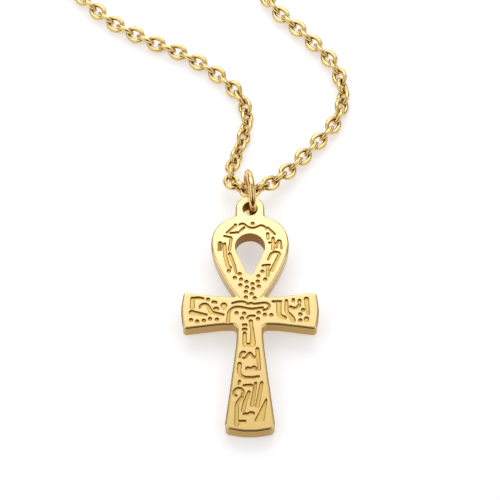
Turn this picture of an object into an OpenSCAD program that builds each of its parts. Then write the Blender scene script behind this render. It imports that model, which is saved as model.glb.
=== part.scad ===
// Ankh pendant on its necklace chain, lying face up: an engraved plate with a looped top
// and an eyelet, a round jump ring through the eyelet, and a closed cable chain with a clasp.
// X runs across the pendant, +Y from its foot to its eyelet, and Z = 0 is the surface below.

/* [Plate] */
// Thickness of the plate
plate_t = 2.85; // [2:0.05:3.2]
// Depth of the engraved marks
groove_depth = 0.3; // [0.15:0.05:0.6]
// Diameter of the round engraved dots
dot_d = 0.62; // [0.4:0.02:0.8]

/* [Arms] */
// Span from tip to tip
arm_span = 22.2; // [18:0.1:28]
// Height of the arms where they leave the crossing
arm_root_h = 4.9; // [4:0.1:6]
// Distance from the pendant's middle at which the arms start to widen
arm_flare_x = 4.4; // [3:0.1:6]
// Height of the arms at their tips
arm_tip_h = 6.6; // [5:0.1:8]
// How far the middle of each end stands out past its corners
arm_bulge = 0.4; // [0.2:0.05:1]
// Corner radius of the arm ends
arm_corner_r = 0.6; // [0.2:0.05:1]
// Radius of the inner corners below the arms
crotch_r = 0.8; // [0.3:0.05:1.2]

/* [Shaft] */
// Length from the lower edge of the arms to the foot
shaft_len = 18.7; // [15:0.1:24]
// Width of the shaft below the arms
shaft_top_w = 4.25; // [3.5:0.05:5]
// Length of the shaft's straight part, from the arms down
shaft_straight = 3; // [2:0.1:8]
// Width of the foot
foot_w = 8.1; // [6:0.1:10]
// How far the middle of the foot stands out past its corners
foot_bulge = 0.6; // [0.2:0.05:1]
// Corner radius of the foot
foot_corner_r = 0.9; // [0.3:0.05:1.5]

/* [Loop] */
// Outer width of the loop
loop_w = 12.65; // [10:0.05:15]
// Height of the loop above the arms
loop_h = 15; // [13:0.1:18]
// Height of the loop's widest place above the arms
loop_wide_h = 9.5; // [8:0.1:11]
// Width of the neck where the loop meets the arms
neck_w = 4.2; // [3.4:0.1:5]
// Width of the drop-shaped hole
drop_w = 4.85; // [4:0.05:6]
// Length of the drop-shaped hole
drop_len = 7.45; // [6:0.05:8.5]
// Radius of the hole's lower tip
drop_tip_r = 0.7; // [0.4:0.05:1]
// Metal above the drop-shaped hole
drop_top_wall = 3.5; // [3:0.05:5]

/* [Eyelet] */
// Outer diameter of the eyelet
eyelet_d = 4.7; // [4.4:0.1:5.5]
// Bore of the eyelet
eyelet_bore_d = 2.45; // [2.4:0.05:3]
// How far the eyelet's centre stands above the loop's top
eyelet_rise = 1.1; // [0.7:0.05:1.4]

/* [Jump ring] */
// Wire of the jump ring
ring_wire_d = 1.2; // [1:0.05:1.3]
// Outer diameter of the jump ring
ring_d = 8.3; // [8:0.1:9]
// Lean of the ring about the pendant's long axis
ring_lean = 3; // [0:1:6]
// Turn of the ring out of the pendant's middle plane
ring_turn = 7; // [0:1:10]
// Clearance between the ring's wire and the wall of the bore
ring_gap = 0.14; // [0.1:0.01:0.2]

/* [Chain] */
// Wire of the links
link_wire_d = 0.7; // [0.5:0.01:0.75]
// Outer length of a link
link_len = 3.6; // [3.3:0.05:3.9]
// Outer width of a link
link_w = 2.85; // [2.4:0.05:3]
// Clearance between one link and the next
link_gap = 0.14; // [0.1:0.01:0.2]

/* [Clasp] */
// Length of the clasp between the middles of its end eyes
clasp_len = 11; // [9:0.5:14]
// Diameter of the clasp's body
clasp_body_d = 2.3; // [1.8:0.1:2.3]
// Outer diameter of an end eye
clasp_eye_d = 3.2; // [3:0.1:4]
// Wire of an end eye
clasp_eye_wire_d = 0.8; // [0.6:0.05:0.9]

/* [Hidden] */
$fn = 48;
gold = "gold";

// How far a cut runs past the face that it opens
overcut = 0.5;

// Places on the plate, from the middle of the crossing
arm_root_y = arm_root_h / 2;
arm_tip_x = arm_span / 2;
arm_tip_y = arm_tip_h / 2;
foot_y = -arm_root_y - shaft_len;
loop_top_y = arm_root_y + loop_h;
loop_wide_y = arm_root_y + loop_wide_h;
drop_top_y = loop_top_y - drop_top_wall;
drop_mid_y = drop_top_y - drop_w / 2;
drop_tip_y = drop_top_y - drop_len + drop_tip_r;
eyelet_y = loop_top_y + eyelet_rise;

// The ring stands on the surface. Its wire goes down through the bore, so the eyelet is held
// up by as much as the wire needs to clear the bore's two rims.
ring_r = (ring_d - ring_wire_d) / 2;
ring_inner_r = ring_r - ring_wire_d / 2;
ring_z = ring_d / 2;
bore_room = eyelet_bore_d - 2 * ring_gap;
ring_reach = ring_d / 2 - bore_room;
rim_r = ring_inner_r - ring_gap;
eyelet_lift = ring_z - sqrt(pow(rim_r, 2) - pow(ring_reach, 2));
plate_tilt = asin(eyelet_lift / (eyelet_y - foot_y));
ring_y = eyelet_y - eyelet_bore_d / 2 + ring_gap + ring_d / 2;

// The place inside the ring where the chain crosses it: past its middle and below it, as
// shares of the ring's inner radius
BAIL_PAST = 0.36;
BAIL_BELOW = 0.25;
bail_y = ring_y + BAIL_PAST * ring_inner_r;
bail_z = ring_z - BAIL_BELOW * ring_inner_r;

// Places along a link from its middle: the inside of an end, the middle of an end bend, and
// the middle of the next link's near bend
link_reach = link_len / 2 - link_wire_d;
link_turn = (link_len - link_w) / 2;
link_pitch = 2 * link_reach - link_gap;
link_span = link_pitch - link_turn;

// Height of the chain's middle line where it lies on the surface, for a roll of its links
floor_gap = 0.03;
function rest_z(roll) = floor_gap + link_wire_d / 2
    + (link_w - link_wire_d) / 2 * max(abs(sin(roll)), abs(cos(roll)));

// How far a last link's middle stands from the middle of the clasp eye's wire
clasp_hook = link_reach - clasp_eye_wire_d / 2 - link_gap;
clasp_eye_r = (clasp_eye_d - clasp_eye_wire_d) / 2;
clasp_end = clasp_len / 2 + clasp_eye_r + clasp_hook;

// Route of the chain seen from above, from the left side of the clasp round to its right
// side, in steps measured from the place inside the ring: across, along, lift as a share of
// the ring's, and roll of the links. Near the ring it follows the way that the chain is laid
// out, and the far stretch goes round in one wide open loop.
ROUTE_LIFT = 2;
ROUTE_ROLL = 3;
clasp_back = 155;
ring_place = [0, 0, 1, 0];
chain_route = [
    [-26, 152, 0, 0], [-50, 136, 0, 0], [-60, 108, 0, 0], [-54, 80, 0, 10], [-40, 57, 0, 20],
    [-29, 40.5, 0, 24], [-25, 36.3, 0, 26], [-18.3, 31.9, 0, 28], [-11.1, 28.4, 0, 26],
    [-4.4, 23.3, 0, 28], [-1.2, 19.2, 0, 40], [-0.45, 15.8, 0, 45], [-1.4, 10.8, 0, 45],
    [-2.8, 6.4, 0.1, 25], [-3.3, 2.8, 0.5, 0], [-1.9, 0.6, 0.85, 0], ring_place,
    [2.1, 1, 0.8, 5], [5.3, 3.8, 0.3, 15], [9.8, 9, 0, 22], [14.6, 15.3, 0, 28],
    [15.9, 20.5, 0, 45], [14.6, 25.9, 0, 62], [9.2, 32.9, 0, 68], [3.7, 39.1, 0, 68],
    [1.8, 45, 0, 60], [9, 54, 0, 45], [32, 64, 0, 20], [53, 81, 0, 0], [60, 108, 0, 0],
    [50, 136, 0, 0], [26, 152, 0, 0]];

function reversed(list) = [for (i = [len(list) - 1:-1:0]) list[i]];
function flat(point) = [point.x, point.y];

// Both ends run straight at the clasp, past their last links by one link's length
left_end = [for (side = [1, -1]) [-clasp_end + side * link_len, clasp_back, 0, 0]];
right_end = [for (side = [1, -1]) [clasp_end + side * link_len, clasp_back, 0, 0]];
route = concat(left_end, chain_route, right_end);
ring_index = [for (i = [0:len(route) - 1]) if (route[i] == ring_place) i][0];

// A smooth curve through the route's points
function gap_after(i) = norm(flat(route[i + 1] - route[i]));
function slope_at(i) =
    i == 0 ? (route[1] - route[0]) / gap_after(0)
    : i == len(route) - 1 ? (route[i] - route[i - 1]) / gap_after(i - 1)
    : let (before = gap_after(i - 1), after = gap_after(i))
        ((route[i] - route[i - 1]) * after / before
        + (route[i + 1] - route[i]) * before / after) / (before + after);
function blend(i, t) =
    let (d = gap_after(i))
    (2 * pow(t, 3) - 3 * pow(t, 2) + 1) * route[i]
    + (pow(t, 3) - 2 * pow(t, 2) + t) * d * slope_at(i)
    + (3 * pow(t, 2) - 2 * pow(t, 3)) * route[i + 1]
    + (pow(t, 3) - pow(t, 2)) * d * slope_at(i + 1);

samples_per_span = 16;
trail = concat(
    [for (i = [0:len(route) - 2], k = [0:samples_per_span - 1]) blend(i, k / samples_per_span)],
    [route[len(route) - 1]]);

// The height goes with the points, so that lengths are measured along the real line
function raised(p) =
    let (rise = bail_z - rest_z(ring_place[ROUTE_ROLL]), roll = p[ROUTE_ROLL])
    [p.x, p.y, rest_z(roll) + max(0, p[ROUTE_LIFT]) * rise, roll];
line = [for (p = trail) raised(p)];
function spot(p) = [p[0], p[1], p[2]];
function running(list, i = 0, total = 0, out = []) =
    i == len(list) ? out
    : let (next = i == 0 ? 0 : total + norm(spot(list[i]) - spot(list[i - 1])))
        running(list, i + 1, next, concat(out, [next]));
lengths = running(line);
columns = [for (axis = [0:3]) [for (i = [0:len(line) - 1]) [lengths[i], line[i][axis]]]];
function along(s) = [for (axis = [0:3]) lookup(s, columns[axis])];

// Lengths of the two strands from the link in the ring, the left one running backwards
ring_s = lengths[ring_index * samples_per_span];
left_s = link_len - ring_s;
right_s = lengths[len(lengths) - 1] - link_len - ring_s;
// A strand has an odd number of links, so that its last link stands on edge in the clasp's eye
function strand_links(length) = 2 * ceil((abs(length) / link_pitch - 1) / 2) + 1;

// The whole piece is centred on its own outline
loop_back = max([for (p = line) p.y]) + bail_y + link_w / 2;
middle_y = (foot_y + loop_back) / 2;

/* Outline of the plate */

arc_step = 6;
function arc(middle, rx, ry, from, to) =
    let (n = ceil(abs(to - from) / arc_step))
    [for (i = [0:n]) let (a = from + (to - from) * i / n) middle + [rx * cos(a), ry * sin(a)]];

function bezier(a, b, c, d, n) =
    [for (i = [1:n]) let (t = i / n, s = 1 - t)
        pow(s, 3) * a + 3 * s * s * t * b + 3 * s * t * t * c + pow(t, 3) * d];

function turned(v, a) = [v.x * cos(a) - v.y * sin(a), v.x * sin(a) + v.y * cos(a)];
function unit(v) = v / norm(v);
// A rounded corner, with its radius limited by its share of the edges beside it
EDGE_SHARE = 0.48;
function corner(a, b, c, r) =
    let (u = unit(a - b), w = unit(c - b), half = acos(u * w) / 2)
    let (room = EDGE_SHARE * min(norm(a - b), norm(c - b)) * tan(half), radius = min(r, room))
    let (middle = b + unit(u + w) * radius / sin(half), start = b + u * radius / tan(half))
    let (side = cross(b - a, c - b) > 0 ? 1 : -1, turn = 180 - 2 * half)
    let (n = ceil(turn / arc_step))
    [for (i = [0:n]) middle + turned(start - middle, side * turn * i / n)];

// Corners of the right half below the neck, each with its radius. Slow bends are as round as
// the edges beside them allow, which takes the peak of a bulge down to its height.
CORNER_R = 2;
slow_r = 40;
function peak(bulge) = bulge / (1 - EDGE_SHARE / 2);
half_corners = [
    [neck_w / 2, arm_root_y, 0],
    [arm_flare_x, arm_root_y, slow_r],
    [arm_tip_x - arm_bulge, arm_tip_y, arm_corner_r],
    [arm_tip_x - arm_bulge + peak(arm_bulge), 0, slow_r],
    [arm_tip_x - arm_bulge, -arm_tip_y, arm_corner_r],
    [arm_flare_x, -arm_root_y, slow_r],
    [shaft_top_w / 2, -arm_root_y, crotch_r],
    [shaft_top_w / 2, -arm_root_y - shaft_straight, slow_r],
    [foot_w / 2, foot_y + foot_bulge, foot_corner_r],
    [0, foot_y + foot_bulge - peak(foot_bulge), slow_r],
    [-foot_w / 2, foot_y + foot_bulge, 0]];

// The loop's edge goes over its top and falls from its widest place to the neck. Each curve has
// two pulls, as shares of the way out and of the way up: over the top from the middle and from
// the widest place, and below it from the neck and from the arms.
PULL_OUT = 0;
PULL_UP = 1;
top_pulls = [[0.63, 1], [1, 0.63]];
side_pulls = [[1, 0.7], [0.32, 0.19]];
curve_steps = 12;
function top_point(pull) =
    [pull[PULL_OUT] * loop_w / 2, loop_wide_y + pull[PULL_UP] * (loop_top_y - loop_wide_y)];
function side_point(pull) =
    [neck_w / 2 + pull[PULL_OUT] * (loop_w - neck_w) / 2, arm_root_y + pull[PULL_UP] * loop_wide_h];
function loop_edge() = concat(
    [[0, loop_top_y]],
    bezier([0, loop_top_y], top_point(top_pulls[0]), top_point(top_pulls[1]),
        [loop_w / 2, loop_wide_y], curve_steps),
    bezier([loop_w / 2, loop_wide_y], side_point(side_pulls[0]), side_point(side_pulls[1]),
        [neck_w / 2, arm_root_y], curve_steps));

function half_outline() = concat(
    loop_edge(),
    [for (i = [1:len(half_corners) - 2])
        each corner(flat(half_corners[i - 1]), flat(half_corners[i]),
            flat(half_corners[i + 1]), half_corners[i][CORNER_R])]);

function outline() =
    let (right = [for (p = half_outline()) if (p.x >= 0) p])
    concat(right, [for (p = reversed(right)) if (p.x > 0) [-p.x, p.y]]);

function drop_outline() =
    let (r = drop_w / 2, lean = asin((r - drop_tip_r) / (drop_mid_y - drop_tip_y)))
    concat(
        arc([0, drop_mid_y], r, r, -lean, 180 + lean),
        arc([0, drop_tip_y], drop_tip_r, drop_tip_r, 180 + lean, 360 - lean));

/* Engraved marks */

// A mark is a stroke: where it starts, its first heading, its width at both ends, and runs of
// a length with the angle that it bends by. Places are hundredths of the field's half width
// and height, and lengths and widths are hundredths of the field's own measure.
hundredth = 0.01;
MARK_X = 0;
MARK_Y = 1;
MARK_HEADING = 2;
MARK_START_W = 3;
MARK_END_W = 4;
MARK_RUNS = 5;
RUN_LENGTH = 0;
RUN_BEND = 1;

// Fields: middle of the base line, half width, height and measure
FIELD_BASE = 0;
FIELD_HALF = 1;
FIELD_HEIGHT = 2;
FIELD_MEASURE = 3;
loop_field = [arm_root_y, loop_w / 2, loop_h, (loop_w - drop_w) / 2];
arm_field = [0, arm_span / 2, arm_root_h / 2, arm_root_h];
shaft_field = [-arm_root_y, foot_w / 2, -shaft_len, foot_w];

loop_marks = [
    [-27, 87.5, 45, 9, 9, [[28, -95], [57, 85], [44, -105]]],
    [-25, 80.3, 42, 10, 10, [[21, 0]]],
    [-38, 87.3, -100, 13, 8, [[10, -40], [42, 5]]],
    [-51, 77.3, 5, 7, 11, [[32, 0]]],
    [-66, 73.6, -10, 9, 12, [[24, -5], [10, -85], [54, 3]]],
    [-81, 56, 88, 7, 7, [[34, 0], [16, -180], [32, 0]]],
    [-66, 64, -90, 13, 15, [[60, 8], [43, 12], [14, 50]]],
    [-52.5, 51.8, -68, 14, 9, [[60, -4], [34, -12]]],
    [46, 84, -40, 9, 9, [[42, -12]]],
    [46, 76.4, -88, 14, 11, [[22, 0]]],
    [59.5, 71.2, -90, 12, 13, [[52, 0]]],
    [50, 65.6, -6, 9, 8, [[27, 0]]],
    [69, 59.5, 84, 8, 8, [[28, 0], [20, -168], [32, 0]]],
    [47, 45, 75, 9, 14, [[24, -15], [38, -85], [12, -85], [80, -8]]],
    [34, 37.4, 9, 13, 9, [[28, 0]]],
    [45, 37.4, -89, 12, 13, [[46, 0]]]];
loop_dots = [
    [7, 89], [-54, 31.3], [-39, 23], [-26.5, 27.5], [-23, 21], [-24.5, 14], [-9, 18],
    [-8, 11.5], [-10.5, 6], [-10.5, -0.5], [6.5, 15.5], [7.5, 9.5], [4, 3.5], [12, -1.5],
    [20, 18.5], [22.5, 12.5], [21.5, 25], [32, 30.5], [39, 21]];

arm_marks = [
    [-84, 24, 90, 15, 12, [[32, 0]]],
    [-84, 88, 14, 8, 8, [[16, -10], [20, -24]]],
    [-53.5, 61, -8, 11, 11, [[8, 0]]],
    [-51, 14, 35, 10, 10, [[10, -70]]],
    [-38, 36, -90, 22, 14, [[8, 0]]],
    [-73, 20, 85, 7, 14, [[38, -150], [22, 4]]],
    [-56.5, -6, -62, 12, 8, [[9, 50], [34, 0]]],
    [-85, -14, -10, 17, 8, [[50, 0]]],
    [-25.5, 53, 24, 7, 7, [[31, -25], [20, -40], [8, 80], [11, -75], [8, 45], [26, 0],
        [17, -35], [9, -55], [14, -65], [14, -30]]],
    [-32, -78, 91, 11, 8, [[30, -12], [24, -55]]],
    [-25, 18, 28, 8, 8, [[24, -36], [28, -8], [16, 22], [32, 4]]],
    [42, 52, -90, 16, 13, [[32, 0], [14, 45], [16, 35]]],
    [33, 66, 0, 7, 8, [[27, 0]]],
    [53, 72, -90, 10, 15, [[32, 0], [20, 50], [26, -35]]],
    [63, 80, -90, 10, 10, [[5, 0]]],
    [72, 74, -90, 11, 12, [[6, 0]]],
    [59, 28, -45, 9, 11, [[14, 40], [14, 55], [8, 20]]],
    [82, 84, -88, 16, 9, [[24, 6], [30, 0]]],
    [82, -60, -90, 16, 16, [[3, 0]]]];
arm_dots = [
    [-61, 81], [-85.5, -69], [-76.5, -79], [-67, -73], [-58, -61], [-48, -65], [-19.5, -18],
    [-8.5, -22], [-11.5, -57], [12.5, -16], [21.5, -30], [31, -33], [11.5, -61], [77, 5],
    [73, -27], [73, -71]];

shaft_marks = [
    [-26, 0.7, 0, 6, 6, [[5, 0]]],
    [-26, 4.8, 0, 6, 6, [[5, 0]]],
    [-10.5, -6, 70, 4.5, 4.5, [[8, -65], [8, -10]]],
    [3, -3, -84, 7.5, 5, [[20, 0]]],
    [8, 3, -87, 5, 10.5, [[34, 0]]],
    [-21, 8.7, -90, 7, 7.5, [[23, 0]]],
    [-21, 19.4, 0, 7, 8, [[17, 0]]],
    [29, 23.3, -85, 7, 6, [[44, 0]]],
    [-26, 32, -5, 4.5, 4.5, [[6, 60], [9, 0], [6, -115], [8, 0], [6, 115], [7, 0]]],
    [-39.5, 31, 80, 4.5, 4.5, [[8, -10], [9, -100]]],
    [-14, 42, 75, 5, 5, [[6, -110], [6, 70], [3, 0], [6, -110], [3, 0]]],
    [-41, 37.5, -97, 8, 4.5, [[14, 5], [22, 85], [26, 25]]],
    [-41, 53.5, -108, 5, 3, [[7, 0]]],
    [-24, 57.5, 2, 4.5, 5.5, [[15, 0]]],
    [-54, 67, 190, 4.5, 5, [[6, -85], [9, -50], [9, -50], [11, -75], [8, -55]]],
    [-31, 68, -125, 6, 8, [[14, 0], [8, 34], [40, 2]]],
    [-41, 90.5, 0, 4.5, 4.5, [[11, 0]]],
    [-4, 63.5, -112, 6, 7.5, [[24, 4], [18, 14]]],
    [22.5, 55.5, -99, 5.5, 7, [[47, 0]]],
    [46, 55, -100, 6, 7.5, [[50, 0]]],
    [-24, 84, 30, 4.5, 4.5, [[5, -50], [4, 60], [7, -40], [5, -50]]]];
// The last mark on the shaft is a blade with a flat end, given by its corners
shaft_blade = [[61, 70.2], [65.5, 69.6], [67, 71.2], [55, 89.6], [53, 90.4], [20, 90.7], [19, 89.6]];

bend_step = 15;
function steps(runs, measure) = [
    for (run = runs)
        let (n = max(1, ceil(abs(run[RUN_BEND]) / bend_step)))
        for (i = [1:n]) [run[RUN_LENGTH] * measure / n, run[RUN_BEND] / n]];
function walked(p, step) =
    let (heading = p[2] + step[1] / 2)
    [p[0] + step[0] * cos(heading), p[1] + step[0] * sin(heading), p[2] + step[1],
        p[3] + step[0]];
function walk(state, list, i = 0) =
    i == len(list) ? [state] : concat([state], walk(walked(state, list[i]), list, i + 1));

cap_steps = 5;
function cap(middle, heading, r, side) =
    [for (i = [1:cap_steps - 1])
        let (a = heading + side * (90 - 180 * i / cap_steps)) middle + r * [cos(a), sin(a)]];

// Sideways and along the field, in hundredths of its half width and height
function in_field(place, field) = [
    place.x * hundredth * field[FIELD_HALF],
    field[FIELD_BASE] + place.y * hundredth * field[FIELD_HEIGHT]];

function stroke(mark, field) =
    let (measure = field[FIELD_MEASURE] * hundredth)
    let (start = in_field([mark[MARK_X], mark[MARK_Y]], field))
    let (states = walk([start.x, start.y, mark[MARK_HEADING], 0], steps(mark[MARK_RUNS], measure)))
    let (total = states[len(states) - 1][3], first = states[0], last = states[len(states) - 1])
    let (radii = [for (p = states) measure / 2 * (mark[MARK_START_W]
        + (mark[MARK_END_W] - mark[MARK_START_W]) * p[3] / total)])
    let (sides = [for (i = [0:len(states) - 1])
        radii[i] * [-sin(states[i][2]), cos(states[i][2])]])
    concat(
        [for (i = [0:len(states) - 1]) flat(states[i]) + sides[i]],
        cap(flat(last), last[2], radii[len(radii) - 1], 1),
        [for (i = [len(states) - 1:-1:0]) flat(states[i]) - sides[i]],
        cap(flat(first), first[2] + 180, radii[0], 1));

module strokes(marks, field) {
    for (mark = marks)
        polygon(stroke(mark, field));
}

module dots(places, field) {
    for (place = places)
        translate(in_field(place, field)) circle(d = dot_d);
}

module engraving() {
    strokes(loop_marks, loop_field);
    strokes(arm_marks, arm_field);
    strokes(shaft_marks, shaft_field);
    polygon([for (place = shaft_blade) in_field(place, shaft_field)]);
    dots(loop_dots, loop_field);
    dots(arm_dots, arm_field);
}

module plate() {
    difference() {
        union() {
            linear_extrude(plate_t) polygon(outline());
            translate([0, eyelet_y, 0]) cylinder(h = plate_t, d = eyelet_d);
            translate([-eyelet_d / 2, loop_wide_y, 0])
                cube([eyelet_d, eyelet_y - loop_wide_y, plate_t]);
        }
        translate([0, eyelet_y, -overcut]) cylinder(h = plate_t + 2 * overcut, d = eyelet_bore_d);
        translate([0, 0, -overcut]) linear_extrude(plate_t + 2 * overcut) polygon(drop_outline());
        translate([0, 0, plate_t - groove_depth]) linear_extrude(groove_depth + overcut)
            engraving();
    }
}

module ankh() {
    color(gold)
        translate([0, foot_y - middle_y, 0])
            rotate([plate_tilt, 0, 0])
                translate([0, -foot_y, 0])
                    plate();
}

module torus(r, wire_d) {
    rotate_extrude() translate([r, 0]) circle(d = wire_d);
}

module jump_ring() {
    color(gold)
        translate([0, ring_y - middle_y, ring_z])
            rotate([0, 90 + ring_lean, ring_turn])
                torus(ring_r, ring_wire_d);
}

module link() {
    bend_r = (link_w - link_wire_d) / 2;
    for (side = [0, 180])
        rotate([0, 0, side]) {
            translate([link_turn, 0, 0]) rotate([0, 0, -90])
                rotate_extrude(angle = 180) translate([bend_r, 0]) circle(d = link_wire_d);
            translate([-link_turn, bend_r, 0]) rotate([0, 90, 0])
                cylinder(h = 2 * link_turn, d = link_wire_d);
        }
}

// One link, where odd links stand on edge. A link turns in its own plane about the middles of
// its end bends, so it follows the line closely in that plane, and across it spans from one
// neighbour's bend to the other's.
module link_at(s, odd) {
    roll = along(s)[ROUTE_ROLL] + 90 * odd;
    plan_reach = link_turn + (link_span - link_turn) * pow(sin(roll), 2);
    rise_reach = link_turn + (link_span - link_turn) * pow(cos(roll), 2);
    tail = along(s - plan_reach);
    head = along(s + plan_reach);
    low = along(s - rise_reach).z;
    high = along(s + rise_reach).z;
    middle = (head + tail) / 2;
    yaw = atan2(head.y - tail.y, head.x - tail.x);
    pitch = atan2(high - low, 2 * rise_reach);
    translate([middle.x, middle.y + bail_y - middle_y, (high + low) / 2])
        rotate([roll, -pitch, yaw])
            link();
}

module strand(length) {
    links = strand_links(length);
    for (i = [1:links])
        link_at(ring_s + length * i / links, i % 2);
}

module chain_left() {
    color(gold) {
        link_at(ring_s, 0);
        strand(left_s);
    }
}

module chain_right() {
    color(gold)
        strand(right_s);
}

module clasp() {
    body_len = clasp_len - 2 * clasp_eye_r;
    color(gold)
        translate([0, bail_y + clasp_back - middle_y, rest_z(0)]) {
            for (side = [-1, 1])
                translate([side * clasp_len / 2, 0, 0]) torus(clasp_eye_r, clasp_eye_wire_d);
            translate([-body_len / 2, 0, 0]) rotate([0, 90, 0])
                cylinder(h = body_len, d = clasp_body_d);
        }
}

ankh();
jump_ring();
chain_left();
chain_right();
clasp();
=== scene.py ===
"""Ankh pendant on its necklace chain, lying face up on a pale table, as it would be dressed for sale.

Lengths are written in millimetres and turned to metres by mm(). X runs across the pendant, +Y from
its foot to its eyelet and on along the necklace, and Z = 0 is the surface that it lies on.
"""

import math

import bpy
import numpy as np
from mathutils import Matrix, Vector


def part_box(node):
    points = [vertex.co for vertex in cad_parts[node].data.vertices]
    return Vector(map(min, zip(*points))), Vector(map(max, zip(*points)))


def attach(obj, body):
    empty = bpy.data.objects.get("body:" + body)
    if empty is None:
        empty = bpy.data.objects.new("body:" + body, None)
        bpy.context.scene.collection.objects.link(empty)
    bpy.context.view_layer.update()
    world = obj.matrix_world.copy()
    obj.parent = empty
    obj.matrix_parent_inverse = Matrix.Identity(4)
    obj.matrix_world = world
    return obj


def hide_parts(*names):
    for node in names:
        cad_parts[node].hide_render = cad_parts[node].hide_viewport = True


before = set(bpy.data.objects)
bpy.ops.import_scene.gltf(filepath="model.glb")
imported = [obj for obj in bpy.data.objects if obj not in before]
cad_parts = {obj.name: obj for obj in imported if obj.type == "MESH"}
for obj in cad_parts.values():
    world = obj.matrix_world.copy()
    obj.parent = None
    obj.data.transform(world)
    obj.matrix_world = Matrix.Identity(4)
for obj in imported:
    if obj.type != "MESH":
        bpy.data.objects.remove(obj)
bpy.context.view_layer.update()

# Ankh plate: one piece of cast brass, 2.85 mm thick, with its marks cast into the face and the
# whole plated in pale yellow gold. The face is brushed satin, the walls are buffed, and the floors
# of the marks keep a duller, deeper gold. It lies on its foot, held up by the jump ring.


def mm(value):
    """Millimetres as metres."""
    return value / 1000


rim_round = mm(0.34)
rim_squash = 0.5
rim_profile = 0.38
rim_steps = 4
hole_round = mm(0.06)
mark_round = mm(0.08)
mark_depth = mm(0.3)
sharp_bend = math.radians(38)
smooth_bend = math.radians(40)
weld = mm(0.001)
slack = mm(0.02)
rim_slack = mm(0.5)

# How far a normal points along the plate's up direction, from 0 on a wall to 1 on the face
wall_tilt = 0.4
upright_tilt = 0.3
rim_tilt = 0.05
floor_tilt = 0.9
level_tilt = 0.9998


def copy_of(node, name):
    """A merged copy of a CAD node, as a piece of its own with nothing else selected."""
    bpy.ops.object.select_all(action="DESELECT")
    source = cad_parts[node]
    piece = source.copy()
    piece.data = source.data.copy()
    piece.name = name
    piece.data.name = name
    piece.parent = None
    piece.matrix_world = Matrix.Identity(4)
    for key in list(piece.keys()):
        del piece[key]
    bpy.context.scene.collection.objects.link(piece)
    piece.data.materials.clear()
    piece.select_set(True)
    bpy.context.view_layer.objects.active = piece
    bpy.ops.object.mode_set(mode="EDIT")
    bpy.ops.mesh.select_all(action="SELECT")
    bpy.ops.mesh.remove_doubles(threshold=weld)
    bpy.ops.object.mode_set(mode="OBJECT")
    return piece


ankh = copy_of("ankh", "ankh_plate")

# The plate's own up direction tells its face, back, walls and marks apart
plate_up = max(ankh.data.polygons, key=lambda face: face.area).normal.copy()
plate_up *= math.copysign(1, plate_up.z)


def plate_heights():
    """How high each vertex lies along the plate's up direction."""
    return [plate_up.dot(vertex.co) for vertex in ankh.data.vertices]


heights = plate_heights()
back_height = min(heights)
face_height = max(heights)


def is_wall(face):
    """True for a face that stands about square to the plate."""
    return abs(face.normal.dot(plate_up)) < wall_tilt


# The drop-shaped hole and the eyelet's bore: how far from the foot, and how far round the middle
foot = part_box("ankh")[0].y
holes = [(Vector((0, foot + from_foot, 0)), reach)
         for from_foot, reach in ((mm(32.65), mm(5.3)), (mm(39.65), mm(1.35)))]


def in_a_hole(face):
    """True for a wall of the eyelet's bore or of the drop-shaped hole."""
    for middle, reach in holes:
        towards = middle - face.center
        towards.z = 0
        if towards.length < reach and face.normal.dot(towards) > 0 and is_wall(face):
            return True
    return False


def spans_plate(face, margin):
    """True for a face that runs from the back to the front, up to a margin at either."""
    own = [heights[i] for i in face.vertices]
    return max(own) > face_height - margin and min(own) < back_height + margin


faces_of_edge = [[] for edge in ankh.data.edges]
for face in ankh.data.polygons:
    for loop in face.loop_indices:
        faces_of_edge[ankh.data.loops[loop].edge_index].append(face)
rounding = ankh.data.attributes.new("bevel_weight_edge", "FLOAT", "EDGE")
for edge in ankh.data.edges:
    beside = faces_of_edge[edge.index]
    if len(beside) != 2 or beside[0].normal.angle(beside[1].normal) < sharp_bend:
        continue
    ends = [heights[i] for i in edge.vertices]
    rise = max(ends) - min(ends)
    outer = any(is_wall(face) and spans_plate(face, slack) for face in beside)
    if any(in_a_hole(face) for face in beside):
        rounding.data[edge.index].value = hole_round / rim_round
    elif outer or rise > slack + mark_depth:
        rounding.data[edge.index].value = 1
    elif rise < slack and max(ends) > face_height - slack:
        rounding.data[edge.index].value = mark_round / rim_round

bpy.ops.object.shade_smooth_by_angle(angle=smooth_bend)
bevel = ankh.modifiers.new("rounded_edges", "BEVEL")
bevel.limit_method = "WEIGHT"
bevel.width = rim_round
bevel.segments = rim_steps
bevel.profile = rim_profile
bevel.use_clamp_overlap = False
bevel.loop_slide = False
bpy.ops.object.modifier_apply(modifier=bevel.name)

# The rims are the sloping faces that can be reached from the plate's outer walls. A buffing wheel
# takes more off the face than off the walls, so they are wider than they are deep.
heights = plate_heights()
rim = set()
reached = set()
for face in ankh.data.polygons:
    if is_wall(face) and spans_plate(face, rim_slack) and not in_a_hole(face):
        reached.update(face.vertices)
for step in range(rim_steps):
    found = [face for face in ankh.data.polygons
             if rim_tilt < face.normal.dot(plate_up) < level_tilt and reached.intersection(face.vertices)]
    for face in found:
        rim.add(face.index)
        reached.update(face.vertices)
for i in reached:
    depth = face_height - heights[i]
    if depth < rim_round + slack:
        ankh.data.vertices[i].co += plate_up * depth * (1 - rim_squash)
ankh.data.update()


def upright(face):
    """True for a face that stands square to the plate, more strictly than a wall."""
    return abs(face.normal.dot(plate_up)) < upright_tilt


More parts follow.
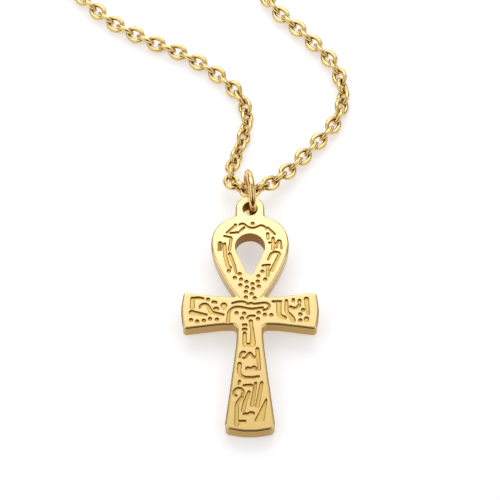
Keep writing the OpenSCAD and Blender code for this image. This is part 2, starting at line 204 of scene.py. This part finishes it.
# Corner normals: level faces stay quite flat, the eased rims run smoothly into them, and the walls
# begin with a crisp edge below the rims
bend_limit = math.cos(smooth_bend)
faces_at = [[] for vertex in ankh.data.vertices]
for face in ankh.data.polygons:
    for vertex in face.vertices:
        faces_at[vertex].append(face)
corner_normals = []
for face in ankh.data.polygons:
    level = abs(face.normal.dot(plate_up)) > level_tilt
    for vertex in face.vertices:
        near = [other for other in faces_at[vertex]
                if other.normal.dot(face.normal) > bend_limit and upright(other) == upright(face)]
        flat = [other for other in near if abs(other.normal.dot(plate_up)) > level_tilt]
        if level:
            normal = face.normal
        elif flat:
            normal = flat[0].normal
        else:
            normal = sum((other.normal * other.area for other in near), Vector())
        corner_normals.append(normal.normalized())
ankh.data.normals_split_custom_set(corner_normals)


def linear(hex_colour):
    """An sRGB hex colour as linear RGBA."""
    channels = [int(hex_colour[i:i + 2], 16) / 255 for i in (0, 2, 4)]
    return [c / 12.92 if c <= 0.04045 else ((c + 0.055) / 1.055) ** 2.4 for c in channels] + [1]


def add_node(tree, kind, settings=(), inputs=()):
    """Adds a node, sets its properties, and fills its inputs with values or other nodes' outputs."""
    node = tree.nodes.new(kind)
    for name, value in dict(settings).items():
        setattr(node, name, value)
    for name, value in dict(inputs).items():
        if isinstance(value, bpy.types.NodeSocket):
            tree.links.new(value, node.inputs[name])
        else:
            node.inputs[name].default_value = value
    return node


def new_material(name):
    """An empty material with its tree and its Principled shader."""
    material = bpy.data.materials.new(name)
    material.use_nodes = True
    tree = material.node_tree
    return material, tree, tree.nodes["Principled BSDF"]


def per_mm(size):
    """Scale of a pattern whose grains are that many millimetres across."""
    return 1 / mm(size)


# Sockets of a Mix node for colours, and the values between which most of a noise lies
low_colour = 6
high_colour = 7
mixed_colour = 2
noise_low = 0.3
noise_high = 0.7

# Satin face: gold plating over brass that was brushed lengthwise with a fine wheel. It gives the
# eye a soft pale sheen with faint grain along the pendant. The real grain is about 0.02 mm wide and
# is drawn at 0.08 mm, so that it shows.
satin, tree, shader = new_material("satin_gold_plating")
place = add_node(tree, "ShaderNodeTexCoord")
along_grain = add_node(tree, "ShaderNodeMapping", {}, {
    "Vector": place.outputs["Object"], "Scale": (1, 0.05, 1)})
grain = add_node(tree, "ShaderNodeTexNoise", {}, {
    "Vector": along_grain.outputs["Vector"], "Scale": per_mm(0.08), "Detail": 3, "Roughness": 0.6})
cloud = add_node(tree, "ShaderNodeTexNoise", {}, {
    "Vector": place.outputs["Object"], "Scale": per_mm(2), "Detail": 6, "Roughness": 0.7})

# The tone grows paler from the foot to the eyelet. That gradient is painted light, the top lit brighter than
# the foot. The small patches on it are the plating's own uneven tone.
split = add_node(tree, "ShaderNodeSeparateXYZ", {}, {"Vector": place.outputs["Object"]})
painted_light_along = add_node(tree, "ShaderNodeMapRange", {}, {
    "Value": split.outputs["Y"], "From Min": mm(-102), "From Max": mm(-58), "To Min": -0.25, "To Max": 0.75})
patches_and_painted_light = add_node(tree, "ShaderNodeMath", {"operation": "MULTIPLY_ADD", "use_clamp": True}, {
    0: cloud.outputs["Fac"], 1: 0.5, 2: painted_light_along.outputs["Result"]})
# Painted light: the base colour grows paler towards the eyelet, where more light falls
tone_and_painted_light = add_node(tree, "ShaderNodeMix", {"data_type": "RGBA"}, {
    "Factor": patches_and_painted_light.outputs["Value"], low_colour: linear("F6D083"), high_colour: linear("F9DEA9")})
satin_rough = add_node(tree, "ShaderNodeMapRange", {}, {
    "Value": grain.outputs["Fac"], "From Min": noise_low, "From Max": noise_high,
    "To Min": 0.3, "To Max": 0.38})
brushed = add_node(tree, "ShaderNodeBump", {}, {
    "Height": grain.outputs["Fac"], "Strength": 0.2, "Distance": mm(0.01)})
shader.inputs["Metallic"].default_value = 1
tree.links.new(tone_and_painted_light.outputs[mixed_colour], shader.inputs["Base Color"])
tree.links.new(satin_rough.outputs["Result"], shader.inputs["Roughness"])
tree.links.new(brushed.outputs["Normal"], shader.inputs["Normal"])

# Buffed walls: the same plating over edges buffed on a soft wheel, so they mirror what is round
# the pendant a little blurred. The buffing leaves slow waves about 1.5 mm apart.
polished, tree, shader = new_material("buffed_gold_plating")
place = add_node(tree, "ShaderNodeTexCoord")
waves = add_node(tree, "ShaderNodeTexNoise", {}, {
    "Vector": place.outputs["Object"], "Scale": per_mm(1.5), "Detail": 2})
wall_rough = add_node(tree, "ShaderNodeMapRange", {}, {
    "Value": waves.outputs["Fac"], "From Min": noise_low, "From Max": noise_high,
    "To Min": 0.15, "To Max": 0.22})
buffed = add_node(tree, "ShaderNodeBump", {}, {
    "Height": waves.outputs["Fac"], "Strength": 0.15, "Distance": mm(0.03)})
shader.inputs["Metallic"].default_value = 1
# The base colour is darker than the face's: painted shade, for the shadowed card that the walls mirror
shader.inputs["Base Color"].default_value = linear("BC964C")
tree.links.new(wall_rough.outputs["Result"], shader.inputs["Roughness"])
tree.links.new(buffed.outputs["Normal"], shader.inputs["Normal"])

# Floors and walls of the marks: plating that no wheel reaches, left matt from the casting with a grain of
# about 0.1 mm. Its colour holds painted shade: browner in the corners, where shade gathers, and on the walls
# that turn away from the light above and behind.
recess, tree, shader = new_material("matt_gold_in_the_marks")
place = add_node(tree, "ShaderNodeTexCoord")
grit = add_node(tree, "ShaderNodeTexNoise", {}, {
    "Vector": place.outputs["Object"], "Scale": per_mm(0.1), "Detail": 3})
cast = add_node(tree, "ShaderNodeBump", {}, {
    "Height": grit.outputs["Fac"], "Strength": 0.3, "Distance": mm(0.02)})
# Painted shade: the base colour turns brown in the corners and on walls that face away from the light
corners = add_node(tree, "ShaderNodeAmbientOcclusion", {"samples": 8}, {"Distance": mm(0.4)})
corner_shade = add_node(tree, "ShaderNodeMapRange", {}, {
    "Value": corners.outputs["AO"], "From Min": 0.42, "From Max": 0.82})
surface = add_node(tree, "ShaderNodeNewGeometry")
facing = add_node(tree, "ShaderNodeVectorMath", {"operation": "DOT_PRODUCT"}, {
    0: surface.outputs["Normal"], 1: (0, 0.35, 0.94)})
slope_shade = add_node(tree, "ShaderNodeMapRange", {}, {
    "Value": facing.outputs["Value"], "From Min": 0.45, "From Max": 0.9})
painted_lit_share = add_node(tree, "ShaderNodeMath", {"operation": "MULTIPLY"}, {
    0: corner_shade.outputs["Result"], 1: slope_shade.outputs["Result"]})
painted_shade_tone = add_node(tree, "ShaderNodeMix", {"data_type": "RGBA"}, {
    "Factor": painted_lit_share.outputs["Value"], low_colour: linear("B18838"), high_colour: linear("E8C472")})
tree.links.new(painted_shade_tone.outputs[mixed_colour], shader.inputs["Base Color"])
shader.inputs["Metallic"].default_value = 1
shader.inputs["Roughness"].default_value = 0.42
tree.links.new(cast.outputs["Normal"], shader.inputs["Normal"])

# Walls of the two holes: plating that was neither brushed nor buffed, so it stays dull, a little uneven over
# about 0.4 mm. Its dark brown colour is painted shade, for the shade inside the holes.
hollow, tree, shader = new_material("dull_gold_in_the_holes")
place = add_node(tree, "ShaderNodeTexCoord")
skin = add_node(tree, "ShaderNodeTexNoise", {}, {
    "Vector": place.outputs["Object"], "Scale": per_mm(0.4), "Detail": 3})
dull = add_node(tree, "ShaderNodeMapRange", {}, {
    "Value": skin.outputs["Fac"], "From Min": noise_low, "From Max": noise_high,
    "To Min": 0.32, "To Max": 0.44})
shader.inputs["Metallic"].default_value = 1
# Painted shade: dark brown for the shade inside the holes
shader.inputs["Base Color"].default_value = linear("9C6B26")
tree.links.new(dull.outputs["Result"], shader.inputs["Roughness"])

# Rims: the edges of the face that the wheel and wear have rounded and polished brighter, with fine
# nicks about 0.3 mm apart.
worn, tree, shader = new_material("worn_gold_rims")
place = add_node(tree, "ShaderNodeTexCoord")
nicks = add_node(tree, "ShaderNodeTexNoise", {}, {
    "Vector": place.outputs["Object"], "Scale": per_mm(0.3), "Detail": 2})
rim_rough = add_node(tree, "ShaderNodeMapRange", {}, {
    "Value": nicks.outputs["Fac"], "From Min": noise_low, "From Max": noise_high,
    "To Min": 0.12, "To Max": 0.2})
nicked = add_node(tree, "ShaderNodeBump", {}, {
    "Height": nicks.outputs["Fac"], "Strength": 0.1, "Distance": mm(0.01)})
shader.inputs["Metallic"].default_value = 1
shader.inputs["Base Color"].default_value = linear("E8C886")
tree.links.new(rim_rough.outputs["Result"], shader.inputs["Roughness"])
tree.links.new(nicked.outputs["Normal"], shader.inputs["Normal"])

finishes = (satin, polished, recess, hollow, worn)
for material in finishes:
    ankh.data.materials.append(material)
heights = plate_heights()
for face in ankh.data.polygons:
    own = [heights[i] for i in face.vertices]
    within_marks = min(own) > face_height - mark_depth - slack
    level_but_turned = max(own) - min(own) < weld and face.normal.dot(plate_up) < floor_tilt
    if in_a_hole(face):
        finish = hollow
    elif face.index in rim:
        finish = worn
    elif min(own) > face_height - weld:
        finish = satin
    elif within_marks and not level_but_turned:
        finish = recess
    else:
        finish = polished
    face.material_index = finishes.index(finish)
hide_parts("ankh")
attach(ankh, "root")

# Jump ring: 1.2 mm round brass wire, bent to a ring of 8.3 mm through the eyelet and closed with
# pliers. Its ends meet in a fine joint, which lies underneath, and it is plated and polished.
ring_wire = mm(1.2)
ring_outer = mm(8.3)
ring_lean = math.radians(3)
ring_turn = math.radians(7)
ring_joint = math.radians(0.7)
ring_joint_place = math.radians(25)

low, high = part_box("jump_ring")
ring_place = Matrix.Translation((low + high) / 2) @ Matrix.Rotation(ring_turn, 4, "Z") @ Matrix.Rotation(
    math.radians(90) + ring_lean, 4, "Y") @ Matrix.Rotation(ring_joint_place, 4, "Z")
bpy.ops.object.select_all(action="DESELECT")
bpy.ops.mesh.primitive_circle_add(
    vertices=24, radius=ring_wire / 2, fill_type="NGON",
    location=((ring_outer - ring_wire) / 2, 0, 0), rotation=(math.radians(90), 0, 0))
ring = bpy.context.object
ring.name = "jump_ring_wire"
bpy.ops.object.transform_apply(location=True, rotation=True, scale=True)
bpy.ops.object.mode_set(mode="EDIT")
bpy.ops.mesh.select_all(action="SELECT")
bpy.ops.mesh.spin(steps=96, angle=math.radians(360) - ring_joint, center=(0, 0, 0), axis=(0, 0, 1))
bpy.ops.mesh.select_all(action="SELECT")
bpy.ops.mesh.normals_make_consistent(inside=False)
bpy.ops.object.mode_set(mode="OBJECT")
ring.data.transform(ring_place)
ends = ring.modifiers.new("eased_ends", "BEVEL")
ends.width = mm(0.05)
ends.segments = 2
ends.angle_limit = math.radians(60)
bpy.ops.object.modifier_apply(modifier=ends.name)
bpy.ops.object.shade_smooth_by_angle(angle=smooth_bend)

# Polished wire: drawn brass wire, plated after it was bent. It mirrors sharply, a little unevenly
# over about 0.5 mm.
wire, tree, shader = new_material("polished_gold_wire")
place = add_node(tree, "ShaderNodeTexCoord")
drawn = add_node(tree, "ShaderNodeTexNoise", {}, {
    "Vector": place.outputs["Object"], "Scale": per_mm(0.5), "Detail": 2})
wire_rough = add_node(tree, "ShaderNodeMapRange", {}, {
    "Value": drawn.outputs["Fac"], "From Min": noise_low, "From Max": noise_high,
    "To Min": 0.1, "To Max": 0.16})
shader.inputs["Metallic"].default_value = 1
shader.inputs["Base Color"].default_value = linear("E9C987")
tree.links.new(wire_rough.outputs["Result"], shader.inputs["Roughness"])
ring.data.materials.append(wire)
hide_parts("jump_ring")
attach(ring, "root")

# Chain: 215 oval links of 0.7 mm brass wire, each bent round its neighbour, closed and soldered,
# then plated. Every second link lies a quarter turn round from the one before it.
link_wire = mm(0.7)
link_length = mm(3.6)
link_width = mm(2.85)
side_swell = 1.16

# A tube with few sides is thinner than the round wire that it stands for, so it is drawn fuller
few_sides = 1.04

bpy.ops.object.select_all(action="DESELECT")
bpy.ops.curve.primitive_bezier_circle_add(radius=1)
link = bpy.context.object
link.scale = ((link_length - link_wire) / 2, (link_width - link_wire * side_swell) / 2, 1)
bpy.ops.object.transform_apply(location=False, rotation=False, scale=True)
for point in link.data.splines[0].bezier_points:
    point.radius = side_swell if abs(point.co.y) > abs(point.co.x) else 1
link.data.resolution_u = 4
link.data.bevel_depth = link_wire / 2 * few_sides
link.data.bevel_resolution = 1
bpy.ops.object.convert(target="MESH")
link = bpy.context.object
bpy.ops.object.shade_smooth()


def places_of(node):
    """Where each link of a CAD strand lies: its middle, its long axis, its width and its normal."""
    strand = copy_of(node, "links_to_read")
    bpy.ops.object.mode_set(mode="EDIT")
    bpy.ops.mesh.select_all(action="SELECT")
    bpy.ops.mesh.separate(type="LOOSE")
    bpy.ops.object.mode_set(mode="OBJECT")
    found = []
    for piece in list(bpy.context.selected_objects):
        corners = np.array([
            [piece.data.vertices[i].co[:] for i in face.vertices] for face in piece.data.polygons])
        middles = corners.mean(axis=1)
        across = np.cross(corners[:, 1] - corners[:, 0], corners[:, 2] - corners[:, 0])
        areas = np.linalg.norm(across, axis=1)
        centre = (middles * areas[:, None]).sum(axis=0) / areas.sum()
        spread = (middles - centre) * np.sqrt(areas)[:, None]
        axes = np.linalg.svd(spread, full_matrices=False)[2]
        if np.linalg.det(axes) < 0:
            axes[2] = -axes[2]
        place = Matrix(axes.T.tolist()).to_4x4()
        place.translation = Vector(centre)
        found.append(place)
        bpy.data.objects.remove(piece)
    return found


# Chain wire: the same plating, worn smooth, with painted shade that turns it browner where the links hook
# into each other.
gold_chain, tree, shader = new_material("plated_chain_wire")
place = add_node(tree, "ShaderNodeTexCoord")
uneven = add_node(tree, "ShaderNodeTexNoise", {}, {
    "Vector": place.outputs["Object"], "Scale": per_mm(0.8), "Detail": 2})
chain_rough = add_node(tree, "ShaderNodeMapRange", {}, {
    "Value": uneven.outputs["Fac"], "From Min": noise_low, "From Max": noise_high,
    "To Min": 0.15, "To Max": 0.25})
# Painted shade: the base colour turns brown where the links crowd each other
gaps = add_node(tree, "ShaderNodeAmbientOcclusion", {"samples": 8}, {"Distance": mm(0.6)})
open_air = add_node(tree, "ShaderNodeMapRange", {}, {
    "Value": gaps.outputs["AO"], "From Min": 0.3, "From Max": 0.8})
painted_gap_shade = add_node(tree, "ShaderNodeMix", {"data_type": "RGBA"}, {
    "Factor": open_air.outputs["Result"], low_colour: linear("8F5F22"), high_colour: linear("EDCF8C")})
shader.inputs["Metallic"].default_value = 1
tree.links.new(painted_gap_shade.outputs[mixed_colour], shader.inputs["Base Color"])
tree.links.new(chain_rough.outputs["Result"], shader.inputs["Roughness"])
link.data.materials.append(gold_chain)

for node, name in (("chain_left", "left_strand"), ("chain_right", "right_strand")):
    copies = []
    for place in places_of(node):
        copy = bpy.data.objects.new("link", link.data.copy())
        copy.data.transform(place)
        bpy.context.scene.collection.objects.link(copy)
        copies.append(copy)
    bpy.ops.object.select_all(action="DESELECT")
    for copy in copies:
        copy.select_set(True)
    bpy.context.view_layer.objects.active = copies[0]
    bpy.ops.object.join()
    strand = bpy.context.object
    strand.name = name
    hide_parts(node)
    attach(strand, "root")
bpy.data.objects.remove(link)

# Clasp: a plain barrel of turned brass with an eye at each end for the last links. It lies at the
# back of the neck, out of the photograph.
clasp_length = mm(11)
barrel_width = mm(2.3)
waist_width = mm(2.1)
cap_length = mm(1.9)
eye_outer = mm(3.2)
eye_wire = mm(0.8)
eye_bend = (eye_outer - eye_wire) / 2
body_length = clasp_length - 2 * eye_bend
low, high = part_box("clasp")
clasp_middle = (low + high) / 2
cap_place = (body_length - cap_length) / 2
pieces = []
for place, width, length in (
        (0, waist_width, body_length - cap_length),
        (cap_place, barrel_width, cap_length),
        (-cap_place, barrel_width, cap_length)):
    bpy.ops.object.select_all(action="DESELECT")
    bpy.ops.mesh.primitive_cylinder_add(
        vertices=48, radius=width / 2, depth=length, rotation=(0, math.radians(90), 0),
        location=clasp_middle + Vector((place, 0, 0)))
    turned = bpy.context.object
    rounded = turned.modifiers.new("turned_ends", "BEVEL")
    rounded.width = mm(0.3)
    rounded.segments = 4
    bpy.ops.object.modifier_apply(modifier=rounded.name)
    pieces.append(turned)
for side in (-1, 1):
    bpy.ops.mesh.primitive_torus_add(
        major_segments=48, minor_segments=16, major_radius=eye_bend, minor_radius=eye_wire / 2,
        location=clasp_middle + Vector((side * clasp_length / 2, 0, 0)))
    pieces.append(bpy.context.object)
bpy.ops.object.select_all(action="DESELECT")
for piece in pieces:
    piece.select_set(True)
bpy.context.view_layer.objects.active = pieces[0]
bpy.ops.object.join()
clasp = bpy.context.object
clasp.name = "barrel_clasp"
bpy.ops.object.transform_apply(location=True, rotation=True, scale=True)
bpy.ops.object.shade_smooth_by_angle(angle=smooth_bend)
clasp.data.materials.append(wire)
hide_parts("clasp")
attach(clasp, "root")

# The table: a wide sheet of smooth white card.
bpy.ops.object.select_all(action="DESELECT")
bpy.ops.mesh.primitive_plane_add(size=mm(4000))
table = bpy.context.object
table.name = "white_card"
card, tree, shader = new_material("smooth_white_card")
shader.inputs["Base Color"].default_value = linear("D2D2D2")
shader.inputs["Roughness"].default_value = 0.7
shader.inputs["Emission Color"].default_value = linear("FFFFFF")
shader.inputs["Emission Strength"].default_value = 0.5
table.data.materials.append(card)

# Soft studio light: a strong diffuser above and behind the pendant, a weaker one low behind it, and
# two broad ones at its sides, a little to the front. The dim room between them is what polished
# metal mirrors as its darker streaks.
target = Vector((0, mm(-65.63), 0))


def soft_light(name, azimuth, elevation, distance, width, height, radiance, tint="FFFFFF"):
    """A rectangular diffuser that faces the pendant, as bright all over as its radiance says.

    Azimuth and elevation are in degrees, from +Y and from the table.
    """
    a = math.radians(azimuth)
    e = math.radians(elevation)
    away = Vector((math.sin(a) * math.cos(e), math.cos(a) * math.cos(e), math.sin(e)))
    bpy.ops.object.light_add(type="AREA", location=target + away * distance)
    light = bpy.context.object
    light.name = name
    light.rotation_euler = away.to_track_quat("Z", "Y").to_euler()
    light.data.shape = "RECTANGLE"
    light.data.size = width
    light.data.size_y = height
    light.data.energy = radiance * math.pi * width * height
    light.data.color = linear(tint)[:3]
    light.visible_camera = False


soft_light("back_diffuser", 0, 50, mm(250), mm(300), mm(145), 1.9, "F4FAFF")
soft_light("low_back_diffuser", 0, 14, mm(500), mm(400), mm(240), 1)
soft_light("left_diffuser", -112, 40, mm(500), mm(600), mm(450), 1)
soft_light("right_diffuser", 112, 40, mm(500), mm(560), mm(420), 0.9)

# The room: brighter above and behind the pendant than in front of it, and warm where it is dim, so
# that the darker streaks in the metal are brown
world = bpy.data.worlds.new("studio_room")
bpy.context.scene.world = world
world.use_nodes = True
tree = world.node_tree
direction = add_node(tree, "ShaderNodeTexCoord")
above = add_node(tree, "ShaderNodeVectorMath", {"operation": "DOT_PRODUCT"}, {
    0: direction.outputs["Generated"], 1: (0, 0.6, 0.8)})
room = add_node(tree, "ShaderNodeMapRange", {}, {
    "Value": above.outputs["Value"], "From Min": 0.3, "From Max": 0.95, "To Min": 0.1, "To Max": 0.65})
tree.links.new(room.outputs["Result"], tree.nodes["Background"].inputs["Strength"])
low_room = add_node(tree, "ShaderNodeMapRange", {}, {
    "Value": above.outputs["Value"], "From Min": 0.3, "From Max": 0.5})
room_tint = add_node(tree, "ShaderNodeMix", {"data_type": "RGBA"}, {
    "Factor": low_room.outputs["Result"], low_colour: linear("FFC88C"), high_colour: linear("FBFCFF")})
tree.links.new(room_tint.outputs[mixed_colour], tree.nodes["Background"].inputs["Color"])
bpy.context.scene.view_settings.view_transform = "Standard"

# Camera: 450 mm away, looking 60 degrees down along +Y, with a long lens
camera_elevation = math.radians(60)
camera_distance = mm(450)
back = Vector((0, -math.cos(camera_elevation), math.sin(camera_elevation)))
bpy.ops.object.camera_add(
    location=target + back * camera_distance, rotation=(math.pi / 2 - camera_elevation, 0, 0))
camera = bpy.context.object
camera.data.lens = 196.4
camera.data.sensor_width = 36
camera.data.clip_start = mm(10)
bpy.context.scene.camera = camera
